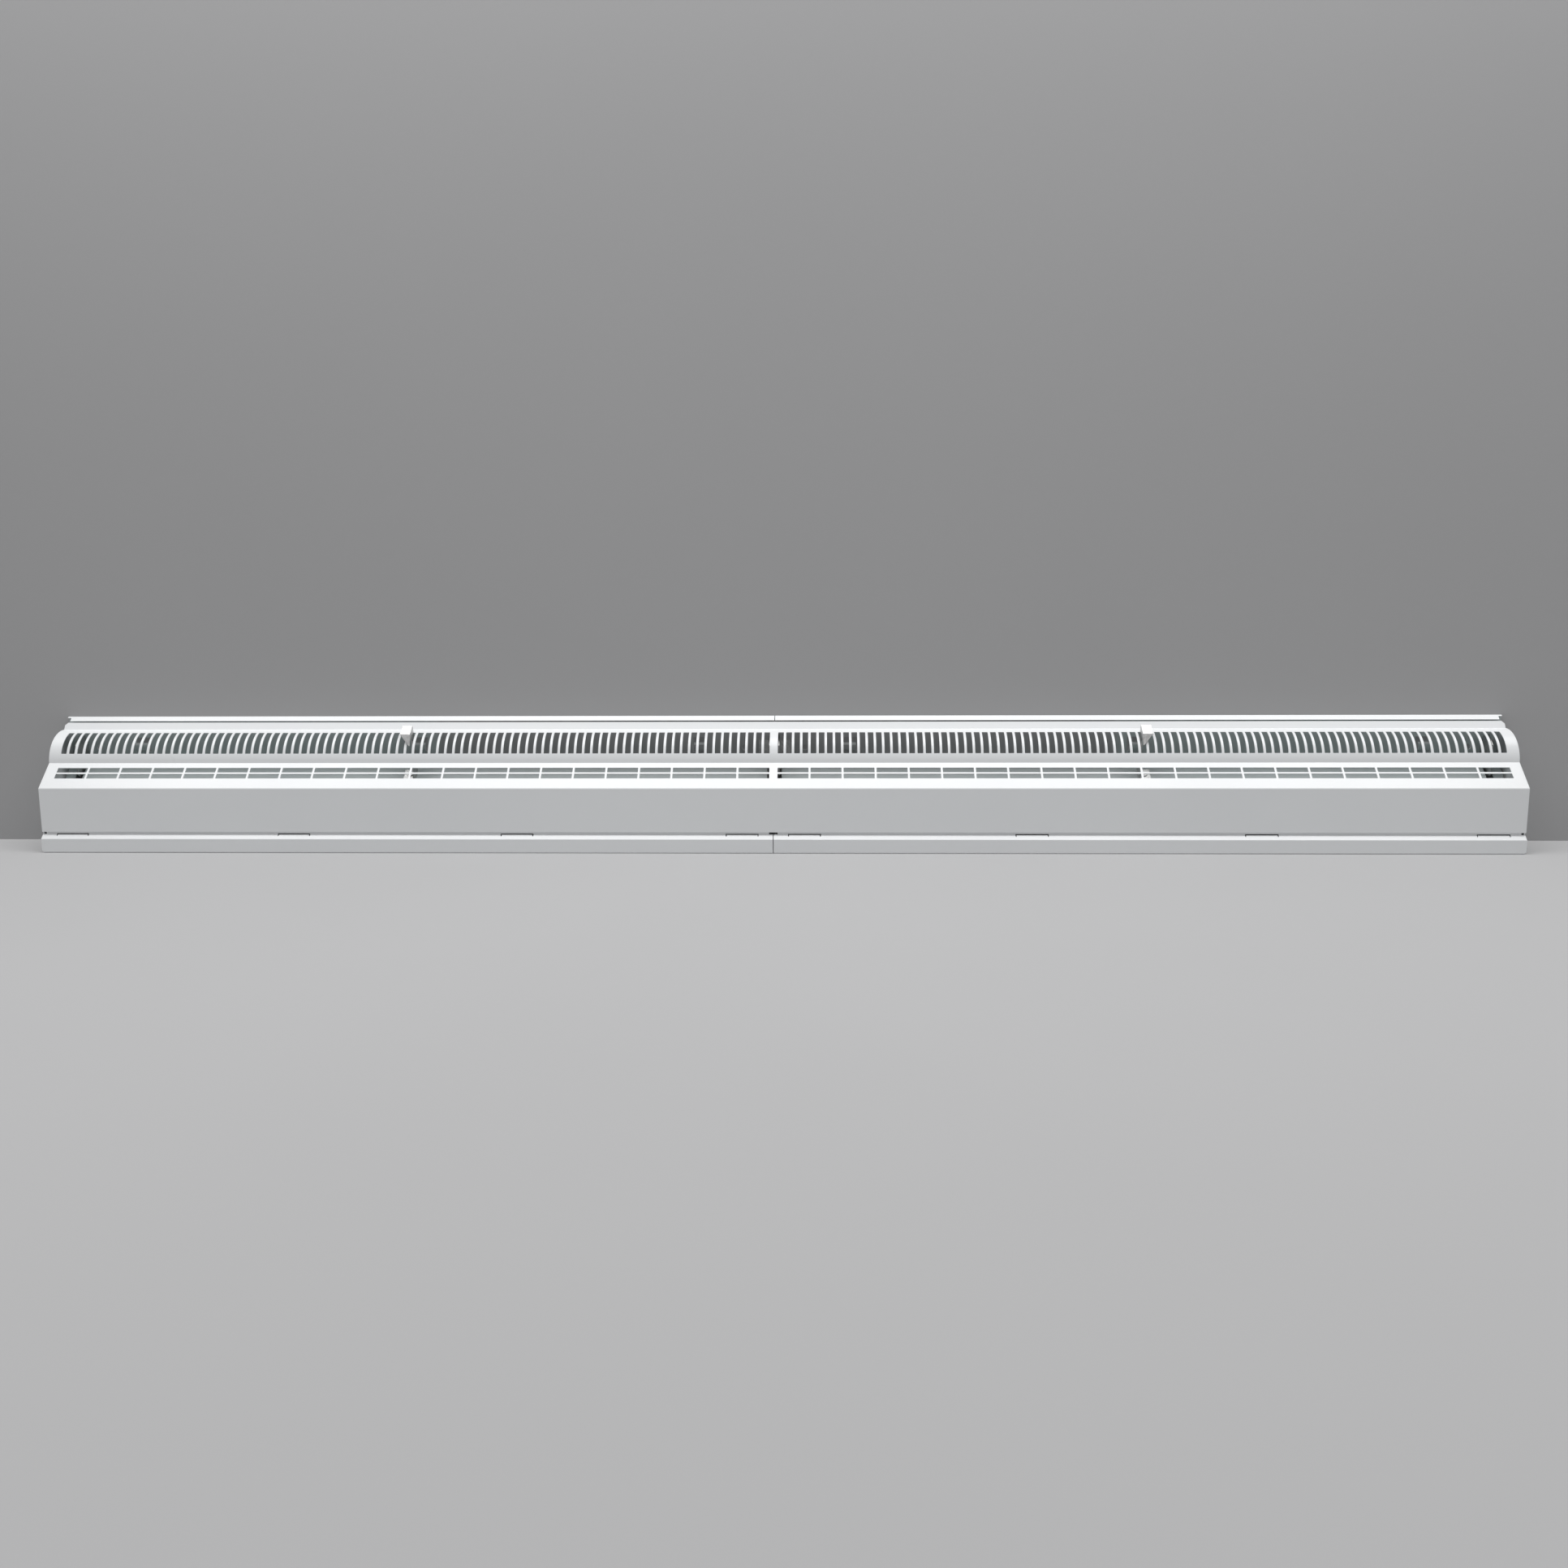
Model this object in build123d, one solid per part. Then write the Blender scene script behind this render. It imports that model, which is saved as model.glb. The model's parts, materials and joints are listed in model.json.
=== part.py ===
from build123d import *
from math import asin, cos, degrees, hypot, radians, sin, sqrt, tan
import os

# Baseboard register, 48 in long: one slotted front cover on two 24 in back pans, with a lever damper in each half.
# X runs along the register, +Y points to the wall and Z is up. The origin is the middle of the base.

# Overall size
length = 1219.2
depth = 57.15
height = 108.0

# Sheet gauges
cover_gauge = 0.8
pan_gauge = 0.8
bracket_gauge = 1.2
blade_gauge = 0.8
lever_gauge = 1.0

# Front cover section
face_setback = 2.3
face_bottom = 17.2
face_top = 53.7
slope_angle = 45.0
arc_radius = 26.4
arc_centre_stand = 9.79
arc_centre_rise = 17.6
flange_lean = 60.0
flange_length = 6.6
flange_corner = 2.4
face_bend = 1.8

# Arc slots and long slots
slot_width = 4.75
slot_pitch = 6.8
slot_low_angle = 19.5
slot_high_angle = 68.5
centre_bar = 6.8
end_margin = 9.0
pitches_per_long_slot = 4
long_bridge = 1.7
long_slot_height = 4.7
long_slot_start = 10.4
long_row_bar = 1.5

# Back pans
joint_gap = 0.6
pan_bend = 1.0
toe_height = 11.6
toe_slope_run = 3.4
toe_corner = 1.8
riser_height = 11.0
riser_end_notch = 3.2
lip_length = 7.0
lip_angle = 41.0
lip_end_inset = 3.0
tongue_length = 27.0
tongue_spacing = 186.2
tongues_per_pan = 4
tongue_slit = 0.8
tongue_foot = 1.2
duct_length = 304.8
duct_width = 44.0
duct_corner = 4.0

# Wall screw holes and spring fingers in the back walls
screw_hole_radius = 2.4
screw_hole_height = 81.0
screw_hole_inset = 25.4
finger_spacing = 241.3
window_width = 13.0
window_low = 77.7
window_high = 89.7
finger_width = 10.6
finger_height = 7.6
finger_bulge = 4.6
finger_tip_stand = 3.2

# Damper brackets
bracket_inner_setback = 3.2
bracket_outer_setback = 14.1
bracket_nose = 10.6
bracket_rise = 21.4
bracket_fall = 19.0
bracket_foot = 10.5
bracket_back_cut = 5.6
bracket_front_cut = 7.8

# End plates
end_plate_gauge = 0.8
end_plate_inset = 0.2
end_plate_clearance = 0.3
end_foot_width = 10.0
end_foot_low = 6.0
end_foot_gap = 4.3

# Damper blades
blade_angle = 45.0
blade_axis_offset = 4.0
blade_rear_reach = 5.5
blade_front_gap = 0.6
blade_edge_drop = 5.0
blade_bend = 1.2
bead_height = 1.5
bead_half_width = 3.0
bead_position = 44.0
ear_radius = 5.5
ear_side_gap = 1.7
blade_end_gap = 1.6
blade_notch_clearance = 1.7

# Pivot pins and dished washers
pin_radius = 2.0
pin_head_radius = 4.0
pin_head_height = 1.2
pin_upset_radius = 3.3
pin_upset_height = 1.0
pin_clearance = 0.05
pin_end_play = 0.15
washer_radius = 4.4
washer_gauge = 0.4
washer_dish = 0.8
washer_bore_clearance = 0.2

# Levers and their rivets
damper_travel = 30.0
stem_end_clearance = 0.5
neck_inset = 1.6
lever_stand_off = 1.3
lever_tip_reach = 6.9
lever_pad_reach = 5.8
lever_pad_low_angle = 49.3
lever_tip_low_angle = 33.0
lever_pad_width = 8.4
lever_foot_start = 8.0
lever_foot_length = 18.0
lever_foot_width = 10.0
rivet_radius = 1.5
rivet_head_radius = 2.8
rivet_head_height = 0.9
rivet_margin = 4.5

# Places worked out from the sizes above
half_length = length / 2
y_wall = depth / 2
y_back = y_wall - pan_gauge
y_toe = -depth / 2
y_face = y_toe + face_setback
riser_y = y_toe + toe_slope_run
riser_z = toe_height + toe_slope_run
arc_y = y_wall - arc_centre_stand
arc_z = face_top + arc_centre_rise
slope_turn = radians(slope_angle)
slope_offset = (arc_y - y_face) * sin(slope_turn) - arc_centre_rise * cos(slope_turn)
slope_length = (arc_y - y_face) * cos(slope_turn) + arc_centre_rise * sin(slope_turn)
slope_length -= sqrt(arc_radius**2 - slope_offset**2)
arc_start = degrees(asin(slope_offset / arc_radius)) - slope_angle
pan_centre = (half_length + joint_gap / 2) / 2
long_slot_pitch = pitches_per_long_slot * slot_pitch
long_slot_length = long_slot_pitch - long_bridge
long_row_pitch = long_slot_height + long_row_bar
long_rows = int((slope_length - long_slot_start - long_slot_height) / long_row_pitch) + 1
first_slot = (centre_bar + slot_width) / 2
first_long_slot = (centre_bar + long_slot_length) / 2
slot_run = half_length - end_margin - centre_bar / 2
slots_per_half = int((slot_run - slot_width) / slot_pitch) + 1
long_slots_per_half = int((slot_run - long_slot_length) / long_slot_pitch) + 1
lever_slot = round((half_length / 2 - first_slot) / slot_pitch)
lever_x = first_slot + lever_slot * slot_pitch
stem_high_angle = slot_high_angle - stem_end_clearance
stem_low_angle = slot_low_angle + stem_end_clearance + damper_travel
bracket_outer_x = half_length - bracket_outer_setback
blade_inner_x = bracket_inner_setback + bracket_gauge + ear_side_gap
ear_outer_x = bracket_outer_x - bracket_gauge - ear_side_gap
blade_outer_x = half_length - end_plate_inset - end_plate_gauge - blade_end_gap


def across(x):
    """Plane across the register at x, with local axes Y and Z."""
    return Plane(origin=(x, 0, 0), x_dir=(0, 1, 0), z_dir=(1, 0, 0))


def box_between(low, high):
    """Box from its lowest to its highest corner."""
    sizes = [b - a for a, b in zip(low, high)]
    return Pos(*low) * Box(*sizes, align=Align.MIN)


def polar(radius, angle):
    """Section point at a radius from the damper's axis and an angle above the horizontal, to the front."""
    return (arc_y - radius * cos(radians(angle)), arc_z + radius * sin(radians(angle)))


def on_blade(along, above=0.0):
    """Section point on the blade's upper face, measured forwards from the axis, and up from the face."""
    turn = radians(blade_angle)
    lift = above - blade_axis_offset
    return (arc_y - along * cos(turn) - lift * sin(turn), arc_z - along * sin(turn) + lift * cos(turn))


def sheet(line, gauge, start, end, side):
    """Folded sheet: a section line thickened to one side and run from start to end along X."""
    return extrude(across(start) * make_face(line.offset_2d(gauge, side=side)), amount=end - start)


def strip(first, second, gauge, start, end):
    """Flat strip under the line from first to second, run from start to end along X."""
    return sheet(Line(first, second), gauge, start, end, Side.LEFT)


def cover_front():
    """Edges of the cover's outer section up to its crown: face, 45 degree slope and quarter round."""
    front = FilletPolyline((y_face, face_bottom), (y_face, face_top), polar(arc_radius, arc_start), radius=face_bend)
    return [*front.edges(), ThreePointArc(front @ 1, polar(arc_radius, 45), polar(arc_radius, 90))]


def flange_tip():
    """Section point at the free edge of the flange that leans back from the crown."""
    crown = polar(arc_radius, 90)
    lean = radians(flange_lean)
    return (crown[0] + flange_length * cos(lean), crown[1] + flange_length * sin(lean))


def arc_slot():
    """Cutter for one arc slot, centred on x = 0."""
    inner, outer = arc_radius - 3 * cover_gauge, arc_radius + cover_gauge
    middle = (slot_low_angle + slot_high_angle) / 2
    inside = ThreePointArc(*[polar(inner, angle) for angle in (slot_low_angle, middle, slot_high_angle)])
    outside = ThreePointArc(*[polar(outer, angle) for angle in (slot_high_angle, middle, slot_low_angle)])
    sides = [Line(inside @ 1, outside @ 0), Line(outside @ 1, inside @ 0)]
    return extrude(across(0) * make_face([inside, outside, *sides]), amount=slot_width / 2, both=True)


def slot_tools():
    """Cutters for the arc slots and the rows of long slots on the right half."""
    arc = arc_slot()
    tools = [Pos(first_slot + i * slot_pitch, 0, 0) * arc for i in range(slots_per_half)]
    long = Rot(slope_angle, 0, 0) * Box(long_slot_length, long_slot_height, 4 * cover_gauge)
    for row in range(long_rows):
        along = long_slot_start + long_slot_height / 2 + row * long_row_pitch
        seat = (y_face + along * cos(slope_turn), face_top + along * sin(slope_turn))
        for i in range(long_slots_per_half):
            tools.append(Pos(first_long_slot + i * long_slot_pitch, *seat) * long)
    return tools


def front_cover():
    """The one-piece cover with its slots cut and the flange's end corners taken off."""
    line = Wire([*cover_front(), Line(polar(arc_radius, 90), flange_tip())])
    body = sheet(line, cover_gauge, -half_length, half_length, Side.RIGHT)
    tools = slot_tools()
    tools += [mirror(tool, about=Plane.YZ) for tool in tools]
    lean = radians(flange_lean)
    cut = Rot(0, 0, 45) * Box(flange_corner * sqrt(2), flange_corner * sqrt(2), 4 * cover_gauge)
    for end in (-half_length, half_length):
        tools.append(Plane(origin=(end, *flange_tip()), x_dir=(1, 0, 0), z_dir=(0, -sin(lean), cos(lean))) * cut)
    return body - tools


def pan_line():
    """Section of a back pan: riser, sloped toe, floor, back wall and the lip folded over at the top."""
    fold = radians(lip_angle)
    fold_z = height + pan_bend * (1 / tan(fold / 2) - 1)
    points = [
        (riser_y, riser_z + riser_height),
        (riser_y, riser_z),
        (y_toe, toe_height),
        (y_toe, 0),
        (y_wall, 0),
        (y_wall, fold_z),
        (y_wall - lip_length * sin(fold), fold_z - lip_length * cos(fold)),
    ]
    return FilletPolyline(*points, radius=pan_bend)


def tongue_tools(x):
    """Slits that free one lanced tongue at the root of the toe's slope."""
    half = tongue_length / 2
    rear = riser_y + 2 * pan_gauge
    top = riser_z + tongue_slit
    tools = [box_between((x - half, riser_y - pan_gauge, riser_z), (x + half, rear, top))]
    for side in (x - half, x + half - tongue_slit):
        low = (side, riser_y - tongue_foot, riser_z - tongue_foot)
        tools.append(box_between(low, (side + tongue_slit, rear, top)))
    return tools


def spring_finger(x):
    """Bowed finger lanced from the back wall, rooted at the bottom of its window."""
    middle = (y_back - finger_bulge, window_low + finger_height * 0.55)
    tip = (y_back - finger_tip_stand, window_low + finger_height)
    front = ThreePointArc((y_back, window_low), middle, tip)
    rear = Pos(pan_gauge, 0, 0) * front
    ends = [Line(front @ 1, rear @ 1), Line(rear @ 0, front @ 0)]
    return extrude(across(x) * make_face([front, rear, *ends]), amount=finger_width / 2, both=True)


def pan_holes():
    """Cutters for the duct opening, the two wall screw holes and the three finger windows."""
    duct = extrude(RectangleRounded(duct_length, duct_width, duct_corner), amount=2 * pan_gauge, both=True)
    tools = [Pos(pan_centre, 0, 0) * duct]
    for x in (joint_gap / 2 + screw_hole_inset, half_length - screw_hole_inset):
        tools.append(Pos(x, y_back, screw_hole_height) * Rot(90, 0, 0) * Cylinder(screw_hole_radius, 4 * pan_gauge))
    for i in (-1, 0, 1):
        x = pan_centre + i * finger_spacing
        low = (x - window_width / 2, y_back - pan_gauge, window_low)
        tools.append(box_between(low, (x + window_width / 2, y_wall + pan_gauge, window_high)))
    return tools


def back_pan():
    """The 24 in back pan on the right of the joint."""
    body = sheet(pan_line(), pan_gauge, joint_gap / 2, half_length, Side.LEFT)
    tools = pan_holes()
    for i in range(tongues_per_pan):
        tools += tongue_tools(pan_centre + (i - (tongues_per_pan - 1) / 2) * tongue_spacing)
    for end in (joint_gap / 2, half_length - riser_end_notch):
        low = (end, riser_y - pan_gauge, riser_z + tongue_slit / 2)
        tools.append(box_between(low, (end + riser_end_notch, riser_y + 2 * pan_gauge, face_top)))
    corner = Rot(0, 45, 0) * Box(toe_corner * sqrt(2), 4 * pan_gauge, toe_corner * sqrt(2))
    tools.append(Pos(half_length, y_toe, 0) * corner)
    low = (half_length - lip_end_inset, y_wall - lip_length, height - lip_length)
    tools.append(box_between(low, (half_length, y_back, height - pan_bend)))
    return body - tools + [spring_finger(pan_centre + i * finger_spacing) for i in (-1, 0, 1)]


def end_plate():
    """Plate that closes the right end inside the cover, with a foot turned in against the back wall."""
    inset = cover_gauge + end_plate_clearance
    edge = Wire(cover_front()).offset_2d(inset, side=Side.RIGHT, closed=False)
    crown = arc_z + arc_radius - inset
    shelf = riser_z + tongue_slit / 2 + end_plate_clearance
    low = pan_gauge + end_plate_clearance
    toe = riser_y + pan_gauge + end_plate_clearance
    points = [
        (arc_y, crown),
        (y_back, crown),
        (y_back, low),
        (toe, low),
        (toe, shelf),
        (y_face + inset, shelf),
        (y_face + inset, face_bottom),
    ]
    outline = make_face([*edge.edges(), *Polyline(*points).edges()])
    outside = half_length - end_plate_inset
    corner = (outside - end_foot_width, y_back - end_plate_gauge, end_foot_low)
    foot = box_between(corner, (outside, y_back, arc_z - bracket_fall - end_foot_gap))
    return extrude(across(outside - end_plate_gauge) * outline, amount=end_plate_gauge) + foot


def bracket_outline():
    """Side view of a damper bracket: upright at the wall, nose past the axis and a tapered top."""
    nose = arc_y - bracket_nose
    top = arc_z + bracket_rise
    bottom = arc_z - bracket_fall
    points = [
        (y_back, bottom),
        (y_back, top - bracket_back_cut),
        (y_back - bracket_back_cut, top),
        (nose + bracket_front_cut, top),
        (nose, top - bracket_front_cut),
        (nose, bottom + bracket_front_cut),
        (nose + bracket_front_cut, bottom),
    ]
    return Polyline(*points, close=True)


def bracket(plate_x, foot_x):
    """Bracket with its plate from plate_x and its foot turned outwards to foot_x against the back wall."""
    plate = extrude(across(plate_x) * make_face(bracket_outline()), amount=bracket_gauge)
    low = (plate_x, y_back - bracket_gauge, arc_z - bracket_fall)
    foot = box_between(low, (foot_x, y_back, arc_z + bracket_rise - bracket_back_cut))
    hole = Rot(0, 90, 0) * Cylinder(pin_radius + pin_clearance, 4 * bracket_gauge)
    return plate + foot - Pos(plate_x, arc_y, arc_z) * hole


def blade_line():
    """Upper face of the blade in section: flat, stiffening bead, flat and the turned-down front edge."""
    turn = radians(blade_angle)
    edge_y = riser_y + pan_gauge + blade_front_gap
    edge = on_blade((arc_y + blade_axis_offset * sin(turn) - edge_y) / cos(turn))
    points = [
        on_blade(-blade_rear_reach),
        on_blade(bead_position - bead_half_width),
        on_blade(bead_position, bead_height),
        on_blade(bead_position + bead_half_width),
        edge,
        (edge[0], edge[1] - blade_edge_drop),
    ]
    return FilletPolyline(*points, radius=blade_bend)


def ear(x):
    """Ear turned up at an end of the blade, rounded about the axis."""
    sides = [on_blade(ear_radius), on_blade(ear_radius, blade_axis_offset)]
    sides += [on_blade(-ear_radius, blade_axis_offset), on_blade(-ear_radius)]
    outline = make_face(Polyline(*sides, close=True)) + Pos(arc_y, arc_z) * Circle(ear_radius)
    return extrude(across(x) * outline, amount=blade_gauge)


def blade_notch():
    """Cutter that clears the blade round the outer bracket and its pin, from the blade's rear edge."""
    reach = hypot(bracket_nose - bracket_front_cut, bracket_fall) + blade_notch_clearance
    front = sqrt(reach**2 - blade_axis_offset**2)
    rear = -2 * blade_rear_reach
    above = 2 * blade_gauge
    corners = [on_blade(rear, above), on_blade(front, above), on_blade(front, -above), on_blade(rear, -above)]
    end = bracket_outer_x + pin_end_play + pin_head_height + blade_notch_clearance
    return extrude(across(ear_outer_x) * make_face(Polyline(*corners, close=True)), amount=end - ear_outer_x)


def damper_blade():
    """The right damper blade with its two ears, the notch at the outer one and the lever's rivet holes."""
    body = sheet(blade_line(), blade_gauge, blade_inner_x, blade_outer_x, Side.LEFT) - blade_notch()
    body += [ear(blade_inner_x), ear(ear_outer_x - blade_gauge)]
    bore = Pos((blade_inner_x + ear_outer_x) / 2, arc_y, arc_z) * Rot(0, 90, 0) * Cylinder(pin_radius, length)
    return body - [bore, *rivet_shanks()]


def pin_profile():
    """Half section of a shouldered pin along +X: head, shank and the end upset over the ear."""
    ear_face = pin_end_play + bracket_gauge + ear_side_gap + blade_gauge
    end = ear_face + pin_upset_height
    points = [
        (-pin_head_height, 0),
        (-pin_head_height, pin_head_radius),
        (0, pin_head_radius),
        (0, pin_radius),
        (ear_face, pin_radius),
        (ear_face, pin_upset_radius),
        (end, pin_upset_radius),
        (end, 0),
    ]
    return make_face(Polyline(*points, close=True))


def washer_profile():
    """Half section of the dished washer between a bracket and an ear, along +X from the pin's head."""
    slack = (ear_side_gap - washer_gauge - washer_dish) / 2
    start = pin_end_play + bracket_gauge + slack
    bore = pin_radius + washer_bore_clearance
    points = [
        (start, bore),
        (start + washer_gauge, bore),
        (start + washer_gauge + washer_dish, washer_radius),
        (start + washer_dish, washer_radius),
    ]
    return make_face(Polyline(*points, close=True))


def at_inner_bracket(profile):
    """A turned piece on the axis at the right half's inner bracket."""
    return Pos(bracket_inner_setback - pin_end_play, arc_y, arc_z) * revolve(profile, Axis.X)


def at_outer_bracket(profile):
    """The same turned piece facing the other way at the outer bracket."""
    return Pos(bracket_outer_x + pin_end_play, arc_y, arc_z) * Rot(0, 0, 180) * revolve(profile, Axis.X)


def lever_outline():
    """Side view of the lever: fin on the blade, neck through the slot and a tapered thumb piece outside."""
    neck = arc_radius - cover_gauge - neck_inset
    stand = arc_radius + lever_stand_off
    tip = polar(stand, lever_tip_low_angle)
    under = ThreePointArc(tip, polar(stand, (lever_tip_low_angle + stem_low_angle) / 2), polar(stand, stem_low_angle))
    corners = [
        polar(stand, stem_low_angle),
        polar(neck, stem_low_angle),
        on_blade(lever_foot_start + lever_foot_length),
        on_blade(lever_foot_start),
        polar(neck, stem_high_angle),
        polar(arc_radius + lever_tip_reach, stem_high_angle),
        polar(arc_radius + lever_pad_reach, lever_pad_low_angle),
        tip,
    ]
    return make_face([under, *Polyline(*corners).edges()])


def lever_flap(inside):
    """Tapered front of the thumb piece, from the pad's lower edge down to the fin's tip."""
    top = polar(arc_radius + lever_pad_reach, lever_pad_low_angle)
    tip = polar(arc_radius + lever_stand_off, lever_tip_low_angle)
    run, fall = tip[0] - top[0], tip[1] - top[1]
    corners = [
        (inside, *top),
        (inside + lever_pad_width, *top),
        (inside + lever_gauge, *tip),
        (inside, *tip),
    ]
    reach = hypot(run, fall)
    return extrude(make_face(Polyline(*corners, close=True)), amount=lever_gauge, dir=(0, -fall / reach, run / reach))


def rivet_frames():
    """Planes on the blade's upper face at the lever's two rivets, facing up."""
    turn = radians(blade_angle)
    x = lever_x + (lever_foot_width + lever_gauge / 2) / 2
    frames = []
    for along in (rivet_margin, lever_foot_length - rivet_margin):
        seat = on_blade(lever_foot_start + along)
        frames.append(Plane(origin=(x, *seat), x_dir=(1, 0, 0), z_dir=(0, -sin(turn), cos(turn))))
    return frames


def rivet_shanks():
    """The rivets' shanks alone, also used to cut their holes."""
    shank = Pos(0, 0, (lever_gauge - blade_gauge) / 2) * Cylinder(rivet_radius, lever_gauge + blade_gauge)
    return [frame * shank for frame in rivet_frames()]


def lever_rivets():
    """Two rivets through the lever's foot and the blade, with a head on each side."""
    head = Cylinder(rivet_head_radius, rivet_head_height)
    above = Pos(0, 0, lever_gauge + rivet_head_height / 2) * head
    below = Pos(0, 0, -blade_gauge - rivet_head_height / 2) * head
    pieces = [shank + [frame * above, frame * below] for frame, shank in zip(rivet_frames(), rivet_shanks())]
    return Compound([piece.solid() for piece in pieces])


def lever():
    """The right lever, bent from one sheet: fin, foot, thumb pad and tapered front."""
    inside = lever_x - lever_gauge / 2
    fin = extrude(across(inside) * lever_outline(), amount=lever_gauge)
    pad_high = polar(arc_radius + lever_tip_reach, stem_high_angle)
    pad_low = polar(arc_radius + lever_pad_reach, lever_pad_low_angle)
    pad = strip(pad_high, pad_low, lever_gauge, inside, inside + lever_pad_width)
    foot_rear = on_blade(lever_foot_start, lever_gauge)
    foot_front = on_blade(lever_foot_start + lever_foot_length, lever_gauge)
    foot = strip(foot_rear, foot_front, lever_gauge, inside, lever_x + lever_foot_width)
    return fin + [pad, lever_flap(inside), foot] - rivet_shanks()


def right_half():
    """Every piece of the right half by name."""
    outer_foot = bracket_outer_x + bracket_foot - bracket_gauge
    return {
        "back_pan": back_pan(),
        "end_plate": end_plate(),
        "inner_bracket": bracket(bracket_inner_setback, bracket_inner_setback + bracket_foot),
        "outer_bracket": bracket(bracket_outer_x - bracket_gauge, outer_foot),
        "damper_blade": damper_blade(),
        "lever": lever(),
        "lever_rivets": lever_rivets(),
        "inner_pivot_pin": at_inner_bracket(pin_profile()),
        "outer_pivot_pin": at_outer_bracket(pin_profile()),
        "inner_washer": at_inner_bracket(washer_profile()),
        "outer_washer": at_outer_bracket(washer_profile()),
    }


os.makedirs("parts", exist_ok=True)
export_step(front_cover(), "parts/front_cover.step")
for name, piece in right_half().items():
    export_step(piece, f"parts/{name}_right.step")
    export_step(mirror(piece, about=Plane.YZ), f"parts/{name}_left.step")
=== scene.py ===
import bmesh
import bpy
import json
from math import asin, cos, radians, sin, sqrt, tan
from mathutils import Matrix, Vector


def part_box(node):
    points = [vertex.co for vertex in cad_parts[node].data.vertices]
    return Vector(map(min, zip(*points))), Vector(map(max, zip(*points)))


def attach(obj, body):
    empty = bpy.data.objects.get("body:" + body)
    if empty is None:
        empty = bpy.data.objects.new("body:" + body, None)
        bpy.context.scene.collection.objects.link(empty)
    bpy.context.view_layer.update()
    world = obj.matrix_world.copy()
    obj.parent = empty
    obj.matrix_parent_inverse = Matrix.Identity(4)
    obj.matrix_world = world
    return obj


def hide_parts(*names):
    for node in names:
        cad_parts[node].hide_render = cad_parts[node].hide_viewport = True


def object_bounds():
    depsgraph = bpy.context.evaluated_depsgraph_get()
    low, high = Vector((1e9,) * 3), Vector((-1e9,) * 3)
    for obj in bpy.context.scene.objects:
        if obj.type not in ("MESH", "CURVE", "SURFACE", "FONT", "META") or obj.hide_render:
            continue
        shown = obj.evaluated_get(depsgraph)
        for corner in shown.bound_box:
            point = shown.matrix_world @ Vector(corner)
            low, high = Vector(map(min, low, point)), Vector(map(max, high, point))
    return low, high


# Baseboard register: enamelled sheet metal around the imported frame, in metres
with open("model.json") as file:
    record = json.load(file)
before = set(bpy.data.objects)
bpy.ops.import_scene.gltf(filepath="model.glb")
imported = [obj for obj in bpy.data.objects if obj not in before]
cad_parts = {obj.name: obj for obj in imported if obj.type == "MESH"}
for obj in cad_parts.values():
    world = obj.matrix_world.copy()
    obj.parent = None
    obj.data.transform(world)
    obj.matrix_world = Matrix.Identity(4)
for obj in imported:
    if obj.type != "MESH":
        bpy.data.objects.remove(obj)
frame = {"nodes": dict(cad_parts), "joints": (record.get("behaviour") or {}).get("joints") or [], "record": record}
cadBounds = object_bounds()
print("frame loaded:", len(frame["nodes"]), "nodes")


class Socket:  # an output socket that can stand in a sum
    def __init__(self, paint, output):
        self.paint = paint
        self.output = output

    def sum(self, operation, first, second):
        return self.paint.add("ShaderNodeMath", {"operation": operation}, {0: first, 1: second})

    def __add__(self, other):
        return self.sum("ADD", self, other)

    def __radd__(self, other):
        return self.sum("ADD", other, self)

    def __sub__(self, other):
        return self.sum("SUBTRACT", self, other)

    def __rsub__(self, other):
        return self.sum("SUBTRACT", other, self)

    def __mul__(self, other):
        return self.sum("MULTIPLY", self, other)

    def __rmul__(self, other):
        return self.sum("MULTIPLY", other, self)

    def __gt__(self, other):
        return self.sum("GREATER_THAN", self, other)


class Paint:  # one material and the nodes in it
    def __init__(self, name):
        self.material = bpy.data.materials.new(name)
        self.material.use_nodes = True
        self.tree = self.material.node_tree
        self.tree.nodes.clear()
        self.place = self.add("ShaderNodeTexCoord", output="Object")

    def add(self, kind, settings=None, inputs=None, output=0):
        node = self.tree.nodes.new(kind)
        for name, value in (settings or {}).items():
            if name == "stops":
                for stop, (position, colour) in zip(node.color_ramp.elements, value):
                    stop.position = position
                    stop.color = colour
            else:
                setattr(node, name, value)
        for name, value in (inputs or {}).items():
            if isinstance(value, Socket):
                self.tree.links.new(value.output, node.inputs[name])
            else:
                node.inputs[name].default_value = value
        return Socket(self, node.outputs[output]) if node.outputs else node

    def stretched(self, scale):
        return self.add("ShaderNodeMapping", {}, {"Vector": self.place, "Scale": scale})

    def noise(self, scale, detail=2.0, roughness=0.5, place=None):
        inputs = {"Vector": place or self.place, "Scale": scale, "Detail": detail, "Roughness": roughness}
        return self.add("ShaderNodeTexNoise", {}, inputs)

    def spread(self, value, low, high, fromLow=0.15, fromHigh=0.85):
        inputs = {"Value": value, "From Min": fromLow, "From Max": fromHigh, "To Min": low, "To Max": high}
        return self.add("ShaderNodeMapRange", {"interpolation_type": "SMOOTHERSTEP"}, inputs)

    def blend(self, factor, first, second):
        inputs = {"Factor": factor, "A": first, "B": second}
        return self.add("ShaderNodeMix", {"data_type": "RGBA"}, inputs, output="Result")

    def finish(self, **inputs):
        named = {name.replace("_", " "): value for name, value in inputs.items()}
        shader = self.add("ShaderNodeBsdfPrincipled", {}, named)
        self.add("ShaderNodeOutputMaterial", {}, {"Surface": shader})
        return self.material


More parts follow.
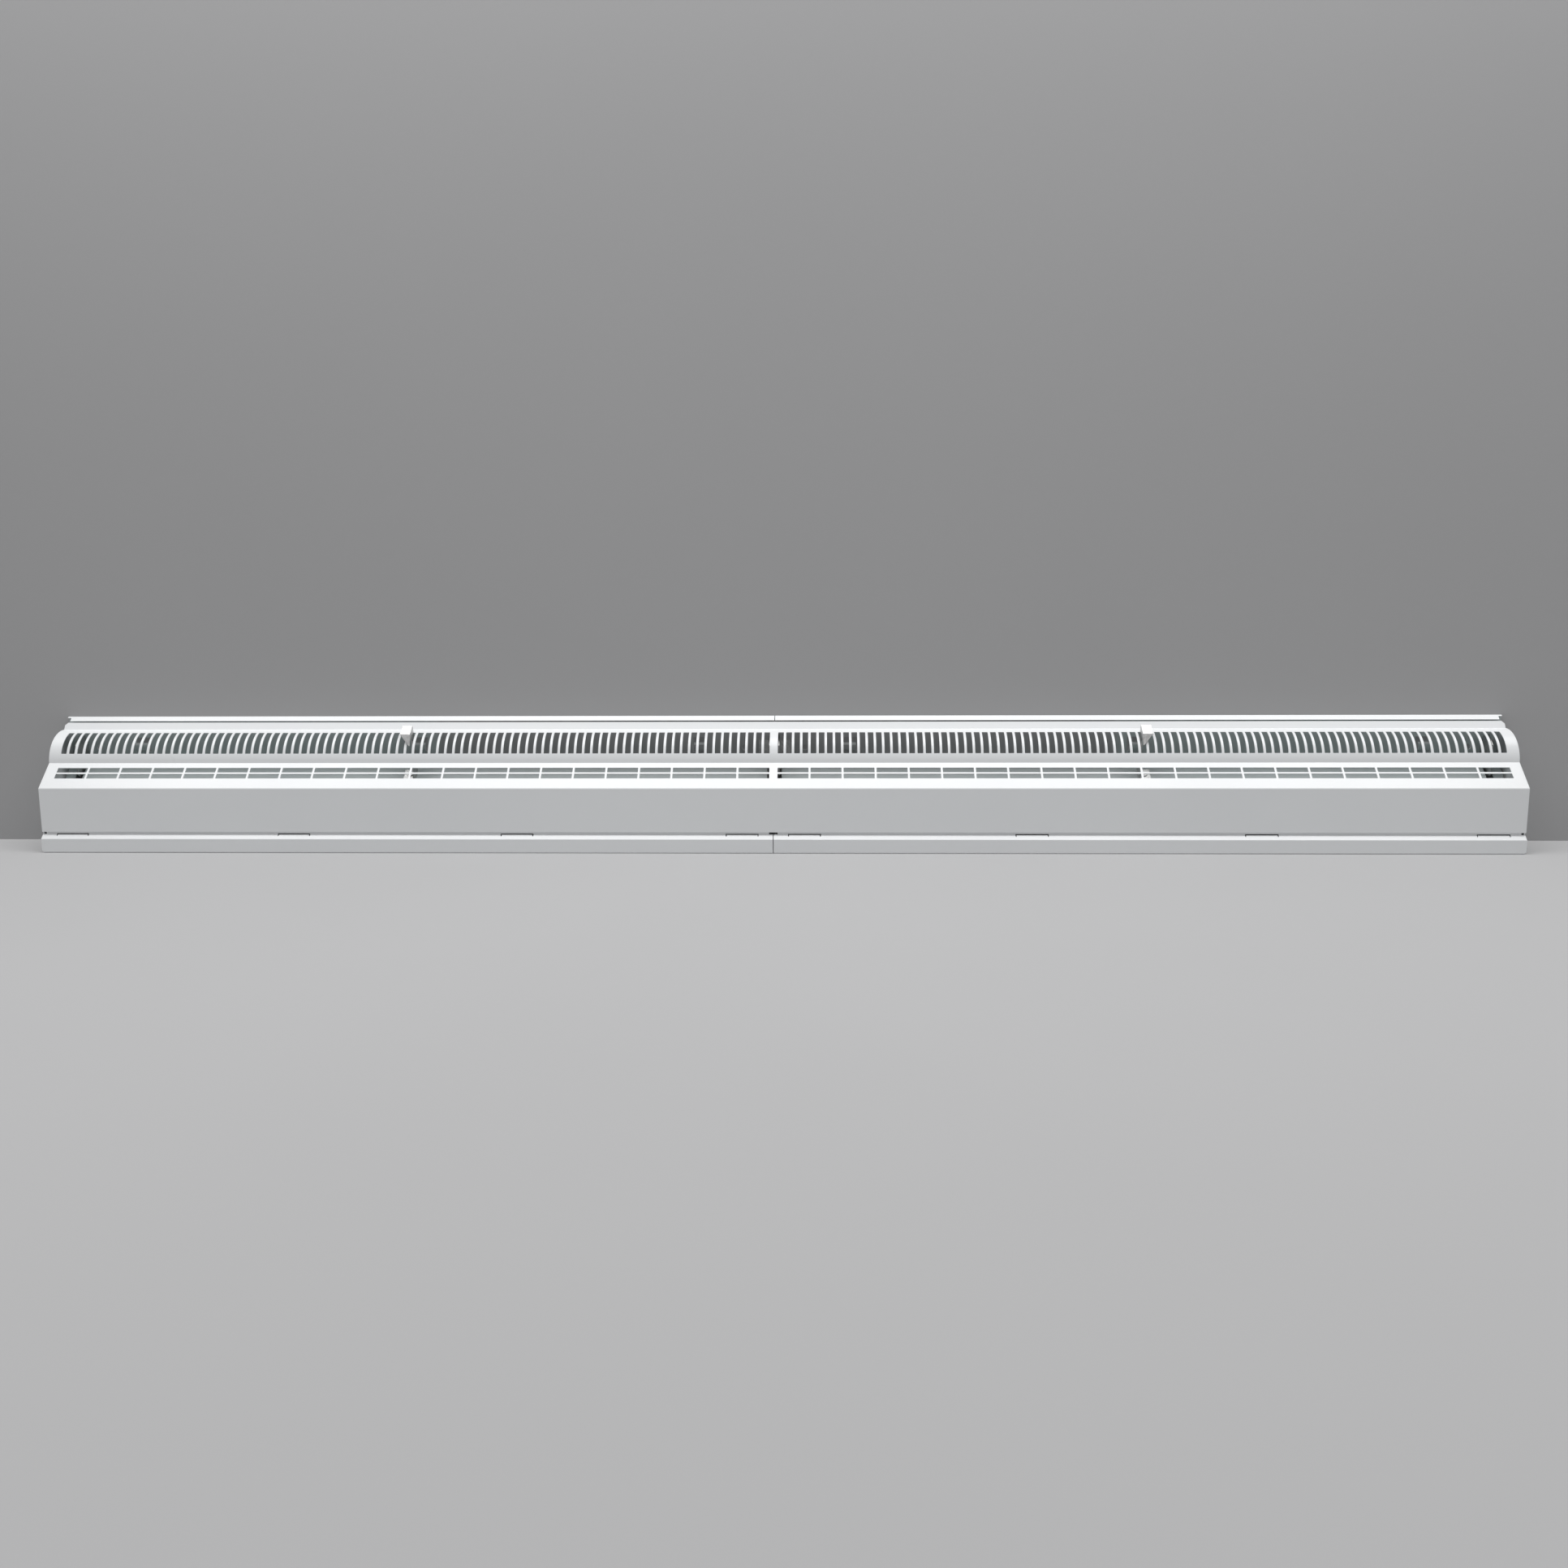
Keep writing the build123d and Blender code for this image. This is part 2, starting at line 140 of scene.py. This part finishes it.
print("materials")
enamelLook = {
    "white": (0.80, 0.815, 0.825, 1),
    "shade": (0.775, 0.79, 0.803, 1),
    "blade": (0.52, 0.565, 0.57, 1),
    "bladeShade": (0.49, 0.535, 0.54, 1),
    "backer": (0.55, 0.61, 0.61, 1),
    # painted shade: a darker inside-coat colour for the middle of the register, standing in for the dimmer interior
    # between the levers, and the |x| band where it fades out
    "paintedShadeMiddle": (0.46, 0.47, 0.475, 1),
    "paintedShadeEdges": (0.284, 0.294),
    "insideOf": (0.0, 0.0, 0.025),
    "mottleScale": 9,
    "peelScale": 850,
    "peelDepth": 0.00001,
    "grainScale": 4200,
    "roughLow": 0.27,
    "roughHigh": 0.33,
}


def backerOver(paint, colour):
    away = paint.add("ShaderNodeVectorMath", {"operation": "SUBTRACT"}, {0: enamelLook["insideOf"], 1: paint.place})
    normal = paint.add("ShaderNodeTexCoord", output="Normal")
    inward = paint.add("ShaderNodeVectorMath", {"operation": "MULTIPLY"}, {0: away, 1: (0, 1, 1)})
    facing = paint.add("ShaderNodeVectorMath", {"operation": "DOT_PRODUCT"}, {0: inward, 1: normal}, "Value")
    across = paint.add("ShaderNodeSeparateXYZ", {}, {"Vector": paint.place}, "X")
    fromMiddle = paint.add("ShaderNodeMath", {"operation": "ABSOLUTE"}, {0: across})
    # painted shade: the inside coat turns darker for |x| inside the lever positions, standing in for less light
    # reaching the interior there; outside it keeps the plain grey backer
    outer = paint.spread(fromMiddle, 0.0, 1.0, *enamelLook["paintedShadeEdges"])
    backer = paint.blend(outer, enamelLook["paintedShadeMiddle"], enamelLook["backer"])
    return paint.blend(facing > 0.002, colour, backer)


def makeEnamel(name, white, shade, rough, coat, backed):
    paint = Paint(name)
    mottle = paint.noise(enamelLook["mottleScale"], 3.0, 0.55)
    specks = paint.noise(enamelLook["grainScale"], 1.0)
    cloud = paint.spread(mottle, 0.0, 0.7) + paint.spread(specks, 0.0, 0.3)
    peel = paint.noise(enamelLook["peelScale"], 2.0, 0.45)
    bumpInputs = {"Height": peel, "Strength": 0.35, "Distance": enamelLook["peelDepth"]}
    colour = paint.blend(cloud, white, shade)
    return paint.finish(
        Base_Color=backerOver(paint, colour) if backed else colour,
        Roughness=paint.spread(mottle, enamelLook["roughLow"], enamelLook["roughHigh"]) + rough,
        Normal=paint.add("ShaderNodeBump", {}, bumpInputs),
        Coat_Weight=coat,
        Coat_Roughness=0.12,
    )


zincLook = {
    "light": (0.62, 0.62, 0.615, 1),
    "dark": (0.46, 0.46, 0.455, 1),
    "spangleScale": 700,
    "brushScale": 900,
    "brushStretch": (1, 9, 1),
}


def makeZinc(name):
    paint = Paint(name)
    spangle = paint.add("ShaderNodeTexVoronoi", {}, {"Vector": paint.place, "Scale": zincLook["spangleScale"]}, "Color")
    tone = paint.add("ShaderNodeRGBToBW", {}, {"Color": spangle})
    brushed = paint.noise(zincLook["brushScale"], 3.0, 0.6, paint.stretched(zincLook["brushStretch"]))
    bump = paint.add("ShaderNodeBump", {}, {"Height": brushed, "Strength": 0.3, "Distance": 0.00002})
    return paint.finish(
        Base_Color=paint.blend(paint.spread(tone, 0.0, 0.7, 0.0, 1.0), zincLook["light"], zincLook["dark"]),
        Metallic=1.0,
        Roughness=paint.spread(brushed, 0.38, 0.54),
        Normal=bump,
    )


def makePlain(name, first, second, oneSided):
    paint = Paint(name)
    cloud = paint.noise(2.5, 3.0)
    facing = {}
    if oneSided:
        front = 1.0 - paint.add("ShaderNodeNewGeometry", output="Backfacing")
        facing["Alpha"] = front * paint.add("ShaderNodeLightPath", output="Is Camera Ray")
    return paint.finish(
        Base_Color=paint.blend(cloud, first, second), Roughness=paint.spread(cloud, 0.6, 0.7), **facing,
    )


finishes = {
    "backed": makeEnamel("backedEnamel", enamelLook["white"], enamelLook["shade"], 0.0, 0.15, True),
    "white_enamel": makeEnamel("whiteEnamel", enamelLook["white"], enamelLook["shade"], 0.0, 0.15, False),
    "white_enamel_inside": makeEnamel("bladeEnamel", enamelLook["blade"], enamelLook["bladeShade"], 0.12, 0.0, False),
    "zinc_steel": makeZinc("zincSteel"),
}
slotOf = {part["node"]: part["material_slot"] for part in frame["record"]["subparts"]}


def dress(piece, slotName):
    isBacked = piece.name.startswith(("front_cover", "back_pan"))
    piece.data.materials.clear()
    piece.data.materials.append(finishes["backed" if isBacked else slotName])


for node, piece in frame["nodes"].items():
    dress(piece, slotOf[node])


def makePiece(name, mesh, body, replaced, slotName):
    piece = bpy.data.objects.new(name, mesh)
    bpy.context.scene.collection.objects.link(piece)
    dress(piece, slotName)
    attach(piece, body)
    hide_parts(replaced)
    return piece


def softenEdges(piece, width, angle=30, segments=1):
    bevel = piece.modifiers.new("softEdges", "BEVEL")
    bevel.width = width
    bevel.segments = segments
    bevel.limit_method = "ANGLE"
    bevel.angle_limit = radians(angle)
    even = piece.modifiers.new("flatNormals", "WEIGHTED_NORMAL")
    even.weight = 60
    even.keep_sharp = True


print("front cover")
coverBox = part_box("front_cover")
hinge = Vector(frame["joints"][0]["pos_m"])
cover = {
    "gauge": 0.0008,
    "faceTop": 0.0537,
    "bendRadius": 0.0018,
    "bendSteps": 4,
    "slopeAngle": radians(45),
    "arcRadius": 0.0264,
    "stepsBelowSlots": 4,
    "stepsAlongSlots": 12,
    "stepsAboveSlots": 5,
    "flangeLean": radians(60),
    "flangeLength": 0.0066,
    "flangeCorner": 0.0024,
    "slotWidth": 0.00475,
    "slotPitch": 0.0068,
    "slotLow": radians(19.5),
    "slotHigh": radians(68.5),
    "slotsPerHalf": 88,
    "centreBar": 0.0068,
    "longSlotLength": 0.0255,
    "longSlotPitch": 0.0272,
    "longSlotsPerHalf": 22,
    "longRows": ((0.0104, 0.0151), (0.0166, 0.0213)),
    "lowCorner": 0.0008,
    "highCorner": 0.0004,
    "longCorner": 0.0003,
    "edge": 0.00012,
}


def pull(mesh, vert, move):
    made = bmesh.ops.extrude_vert_indiv(mesh, verts=[vert])["verts"][0]
    bmesh.ops.translate(mesh, verts=[made], vec=move)
    return made


def turn(mesh, vert, centre, angle, steps):
    made = bmesh.ops.spin(mesh, geom=[vert], cent=centre, axis=(-1, 0, 0), angle=angle, steps=steps)
    return next(item for item in made["geom_last"] if isinstance(item, bmesh.types.BMVert))


def coverProfile(mesh, x):
    slope, bend, radius = cover["slopeAngle"], cover["bendRadius"], cover["arcRadius"]
    low, high = coverBox
    tangent = bend * tan(slope / 2)
    along = Vector((0, cos(slope), sin(slope)))
    corner = Vector((x, low.y, cover["faceTop"]))
    axis = Vector((x, hinge.y, hinge.z))
    reach = (axis - corner).dot(along)
    drop = (axis - corner - reach * along).length
    slopeLength = reach - sqrt(radius**2 - drop**2)
    start = asin(drop / radius) - slope
    vert = mesh.verts.new((x, low.y, low.z))
    vert = pull(mesh, vert, (0, 0, cover["faceTop"] - tangent - low.z))
    vert = turn(mesh, vert, corner + Vector((0, bend, -tangent)), slope, cover["bendSteps"])
    last = tangent
    for stop in [edge for row in cover["longRows"] for edge in row] + [slopeLength]:
        vert = pull(mesh, vert, along * (stop - last))
        last = stop
    vert = turn(mesh, vert, axis, cover["slotLow"] - start, cover["stepsBelowSlots"])
    vert = turn(mesh, vert, axis, cover["slotHigh"] - cover["slotLow"], cover["stepsAlongSlots"])
    vert = turn(mesh, vert, axis, radians(90) - cover["slotHigh"], cover["stepsAboveSlots"])
    lean = cover["flangeLean"]
    pull(mesh, vert, Vector((0, cos(lean), sin(lean))) * cover["flangeLength"])


def coverColumns():
    stops = set()
    for i in range(cover["slotsPerHalf"]):
        start = cover["centreBar"] / 2 + i * cover["slotPitch"]
        stops |= {round(start, 7), round(start + cover["slotWidth"], 7)}
    for i in range(cover["longSlotsPerHalf"]):
        start = cover["centreBar"] / 2 + i * cover["longSlotPitch"]
        stops |= {round(start, 7), round(start + cover["longSlotLength"], 7)}
    stops.add(round(coverBox[1].x - cover["flangeCorner"], 7))
    stops.add(round(coverBox[1].x, 7))
    return sorted([-stop for stop in stops] + list(stops))


def inRun(x, pitch, width, count):
    place, step = divmod(abs(x) - cover["centreBar"] / 2, pitch)
    return 0 <= place < count and step < width


def isSlot(face):
    centre = face.calc_center_median()
    fromAxis = Vector((hinge.y - centre.y, centre.z - hinge.z))
    angle = fromAxis.angle_signed(Vector((1, 0))) if fromAxis.length else 0
    onArc = abs(fromAxis.length - cover["arcRadius"]) < cover["gauge"] / 4
    if onArc and cover["slotLow"] < angle < cover["slotHigh"]:
        return inRun(centre.x, cover["slotPitch"], cover["slotWidth"], cover["slotsPerHalf"])
    rise = centre.z - cover["faceTop"]
    along = rise / sin(cover["slopeAngle"])
    if onArc or not any(first < along < last for first, last in cover["longRows"]):
        return False
    return inRun(centre.x, cover["longSlotPitch"], cover["longSlotLength"], cover["longSlotsPerHalf"])


def roundCorners(mesh, verts, radius, segments):
    bmesh.ops.bevel(
        mesh, geom=verts, offset=radius, offset_type="OFFSET", segments=segments,
        profile=0.5, affect="VERTICES", clamp_overlap=True, material=-1,
    )


def makeCover():
    mesh = bmesh.new()
    columns = coverColumns()
    coverProfile(mesh, columns[0])
    edges = list(mesh.edges)
    for first, last in zip(columns, columns[1:]):
        made = bmesh.ops.extrude_edge_only(mesh, edges=edges)["geom"]
        verts = [item for item in made if isinstance(item, bmesh.types.BMVert)]
        new = set(verts)
        edges = [
            item for item in made
            if isinstance(item, bmesh.types.BMEdge) and item.verts[0] in new and item.verts[1] in new
        ]
        bmesh.ops.translate(mesh, verts=verts, vec=(last - first, 0, 0))
    bmesh.ops.delete(mesh, geom=[face for face in mesh.faces if isSlot(face)], context="FACES")
    corners = [vert for vert in mesh.verts if vert.is_boundary and len(vert.link_faces) == 3]
    middle = (cover["slotLow"] + cover["slotHigh"]) / 2
    slotMiddle = hinge.z + cover["arcRadius"] * sin(middle)
    slotFoot = hinge.z + cover["arcRadius"] * sin(cover["slotLow"]) - cover["gauge"] / 2
    high = [vert for vert in corners if vert.co.z > slotMiddle]
    low = [vert for vert in corners if slotFoot < vert.co.z < slotMiddle]
    long = [vert for vert in corners if vert.co.z < slotFoot]
    ends = [
        vert for vert in mesh.verts
        if len(vert.link_faces) == 1 and vert.co.z > coverBox[1].z - cover["flangeLength"] / 2
    ]
    roundCorners(mesh, high, cover["highCorner"], 2)
    roundCorners(mesh, low, cover["lowCorner"], 3)
    roundCorners(mesh, long, cover["longCorner"], 2)
    roundCorners(mesh, ends, cover["flangeCorner"], 1)
    bmesh.ops.recalc_face_normals(mesh, faces=mesh.faces)
    front = min(mesh.faces, key=lambda face: face.calc_center_median().z)
    if front.normal.y > 0:
        bmesh.ops.reverse_faces(mesh, faces=mesh.faces)
    for face in mesh.faces:
        face.smooth = True
    data = bpy.data.meshes.new("coverSheet")
    mesh.to_mesh(data)
    mesh.free()
    piece = makePiece("front_cover_sheet", data, "root", "front_cover", "white_enamel")
    thick = piece.modifiers.new("sheet", "SOLIDIFY")
    thick.thickness = cover["gauge"]
    thick.offset = -1
    thick.use_even_offset = True
    softenEdges(piece, cover["edge"])
    return piece


coverPiece = makeCover()
print("cover faces:", len(coverPiece.data.polygons))

print("softened pieces")
softened = {
    "back_pan": ("root", 0.00015),
    "end_plate": ("root", 0.00015),
    "inner_bracket": ("root", 0.0002),
    "outer_bracket": ("root", 0.0002),
    "damper_blade": ("damper", 0.00015),
    "lever": ("damper", 0.0002),
}


def makeSoftened(kind, body, width, side):
    node = f"{kind}_{side}"
    mesh = bmesh.new()
    mesh.from_mesh(frame["nodes"][node].data)
    bmesh.ops.remove_doubles(mesh, verts=mesh.verts, dist=0.000002)
    bmesh.ops.dissolve_limit(mesh, angle_limit=radians(0.5), verts=mesh.verts, edges=mesh.edges)
    for face in mesh.faces:
        face.smooth = True
    data = bpy.data.meshes.new(node + "Soft")
    mesh.to_mesh(data)
    mesh.free()
    rider = body if body == "root" else f"{body}_{side}"
    piece = makePiece(node + "_soft", data, rider, node, slotOf[node])
    softenEdges(piece, width)


for kind, (body, width) in softened.items():
    for side in ("right", "left"):
        makeSoftened(kind, body, width, side)

print("floor, light and camera")
stageLook = {
    "half": 6.0,
    "wallGap": 0.0004,
    "floor": ((0.43, 0.43, 0.435, 1), (0.45, 0.45, 0.455, 1)),
    "wall": ((0.38, 0.38, 0.385, 1), (0.40, 0.40, 0.405, 1)),
    "world": 0.3,
    "backdrop": (0.55, 0.55, 0.555, 1),
}


def makePlane(name, move, tilt, look, oneSided):
    mesh = bmesh.new()
    bmesh.ops.create_grid(mesh, x_segments=1, y_segments=1, size=stageLook["half"])
    bmesh.ops.rotate(mesh, verts=mesh.verts, cent=(0, 0, 0), matrix=Matrix.Rotation(tilt, 3, "X"))
    bmesh.ops.translate(mesh, verts=mesh.verts, vec=move)
    data = bpy.data.meshes.new(name)
    mesh.to_mesh(data)
    mesh.free()
    plane = bpy.data.objects.new(name, data)
    bpy.context.scene.collection.objects.link(plane)
    data.materials.append(makePlain(name, *stageLook[look], oneSided))


def makeStage():
    makePlane("paleFloor", (0, 0, 0), 0, "floor", False)
    makePlane("paleWall", (0, cadBounds[1][1] + stageLook["wallGap"], 0), radians(90), "wall", True)


def makeWorld():
    world = bpy.data.worlds.new("paleRoom")
    world.use_nodes = True
    tree = world.node_tree
    tree.nodes.clear()
    light = tree.nodes.new("ShaderNodeBackground")
    light.inputs["Color"].default_value = (1, 1, 1, 1)
    light.inputs["Strength"].default_value = stageLook["world"]
    seen = tree.nodes.new("ShaderNodeBackground")
    seen.inputs["Color"].default_value = stageLook["backdrop"]
    path = tree.nodes.new("ShaderNodeLightPath")
    direct = tree.nodes.new("ShaderNodeMath")
    direct.operation = "MAXIMUM"
    shown = tree.nodes.new("ShaderNodeMath")
    shown.operation = "MAXIMUM"
    mix = tree.nodes.new("ShaderNodeMixShader")
    output = tree.nodes.new("ShaderNodeOutputWorld")
    tree.links.new(path.outputs["Is Camera Ray"], direct.inputs[0])
    tree.links.new(path.outputs["Is Glossy Ray"], direct.inputs[1])
    tree.links.new(direct.outputs[0], shown.inputs[0])
    tree.links.new(path.outputs["Is Transmission Ray"], shown.inputs[1])
    tree.links.new(shown.outputs[0], mix.inputs["Fac"])
    tree.links.new(light.outputs[0], mix.inputs[1])
    tree.links.new(seen.outputs[0], mix.inputs[2])
    tree.links.new(mix.outputs[0], output.inputs["Surface"])
    bpy.context.scene.world = world


lamps = {
    "topLamp": {"place": (0.0, -0.28, 1.5), "size": (2.8, 0.9), "power": 30},
}


def makeLamp(name, place, size, power):
    light = bpy.data.lights.new(name, "AREA")
    light.shape = "RECTANGLE"
    light.size, light.size_y = size
    light.energy = power
    lamp = bpy.data.objects.new(name, light)
    lamp.location = place
    aim = Vector((0, 0, 0.05)) - Vector(place)
    lamp.rotation_euler = aim.to_track_quat("-Z", "Y").to_euler()
    bpy.context.scene.collection.objects.link(lamp)


cameraLook = {
    "place": (0.0377326, -1.099016, 0.222628),
    "turn": (1.41794741, 0.02193781, 0.01869295),
    "lens": 30.534,
    "sensor": 36.0,
}


def makeCamera():
    data = bpy.data.cameras.new("photoCamera")
    data.lens = cameraLook["lens"]
    data.sensor_width = cameraLook["sensor"]
    data.clip_start = 0.01
    camera = bpy.data.objects.new("photoCamera", data)
    turned = Vector(cameraLook["turn"])
    camera.rotation_mode = "QUATERNION"
    camera.rotation_quaternion = Matrix.Rotation(turned.length, 3, turned.normalized()).to_quaternion()
    camera.location = cameraLook["place"]
    bpy.context.scene.collection.objects.link(camera)
    bpy.context.scene.camera = camera


makeStage()
makeWorld()
for name, lamp in lamps.items():
    makeLamp(name, **lamp)
makeCamera()
bpy.context.scene.view_settings.view_transform = "Standard"
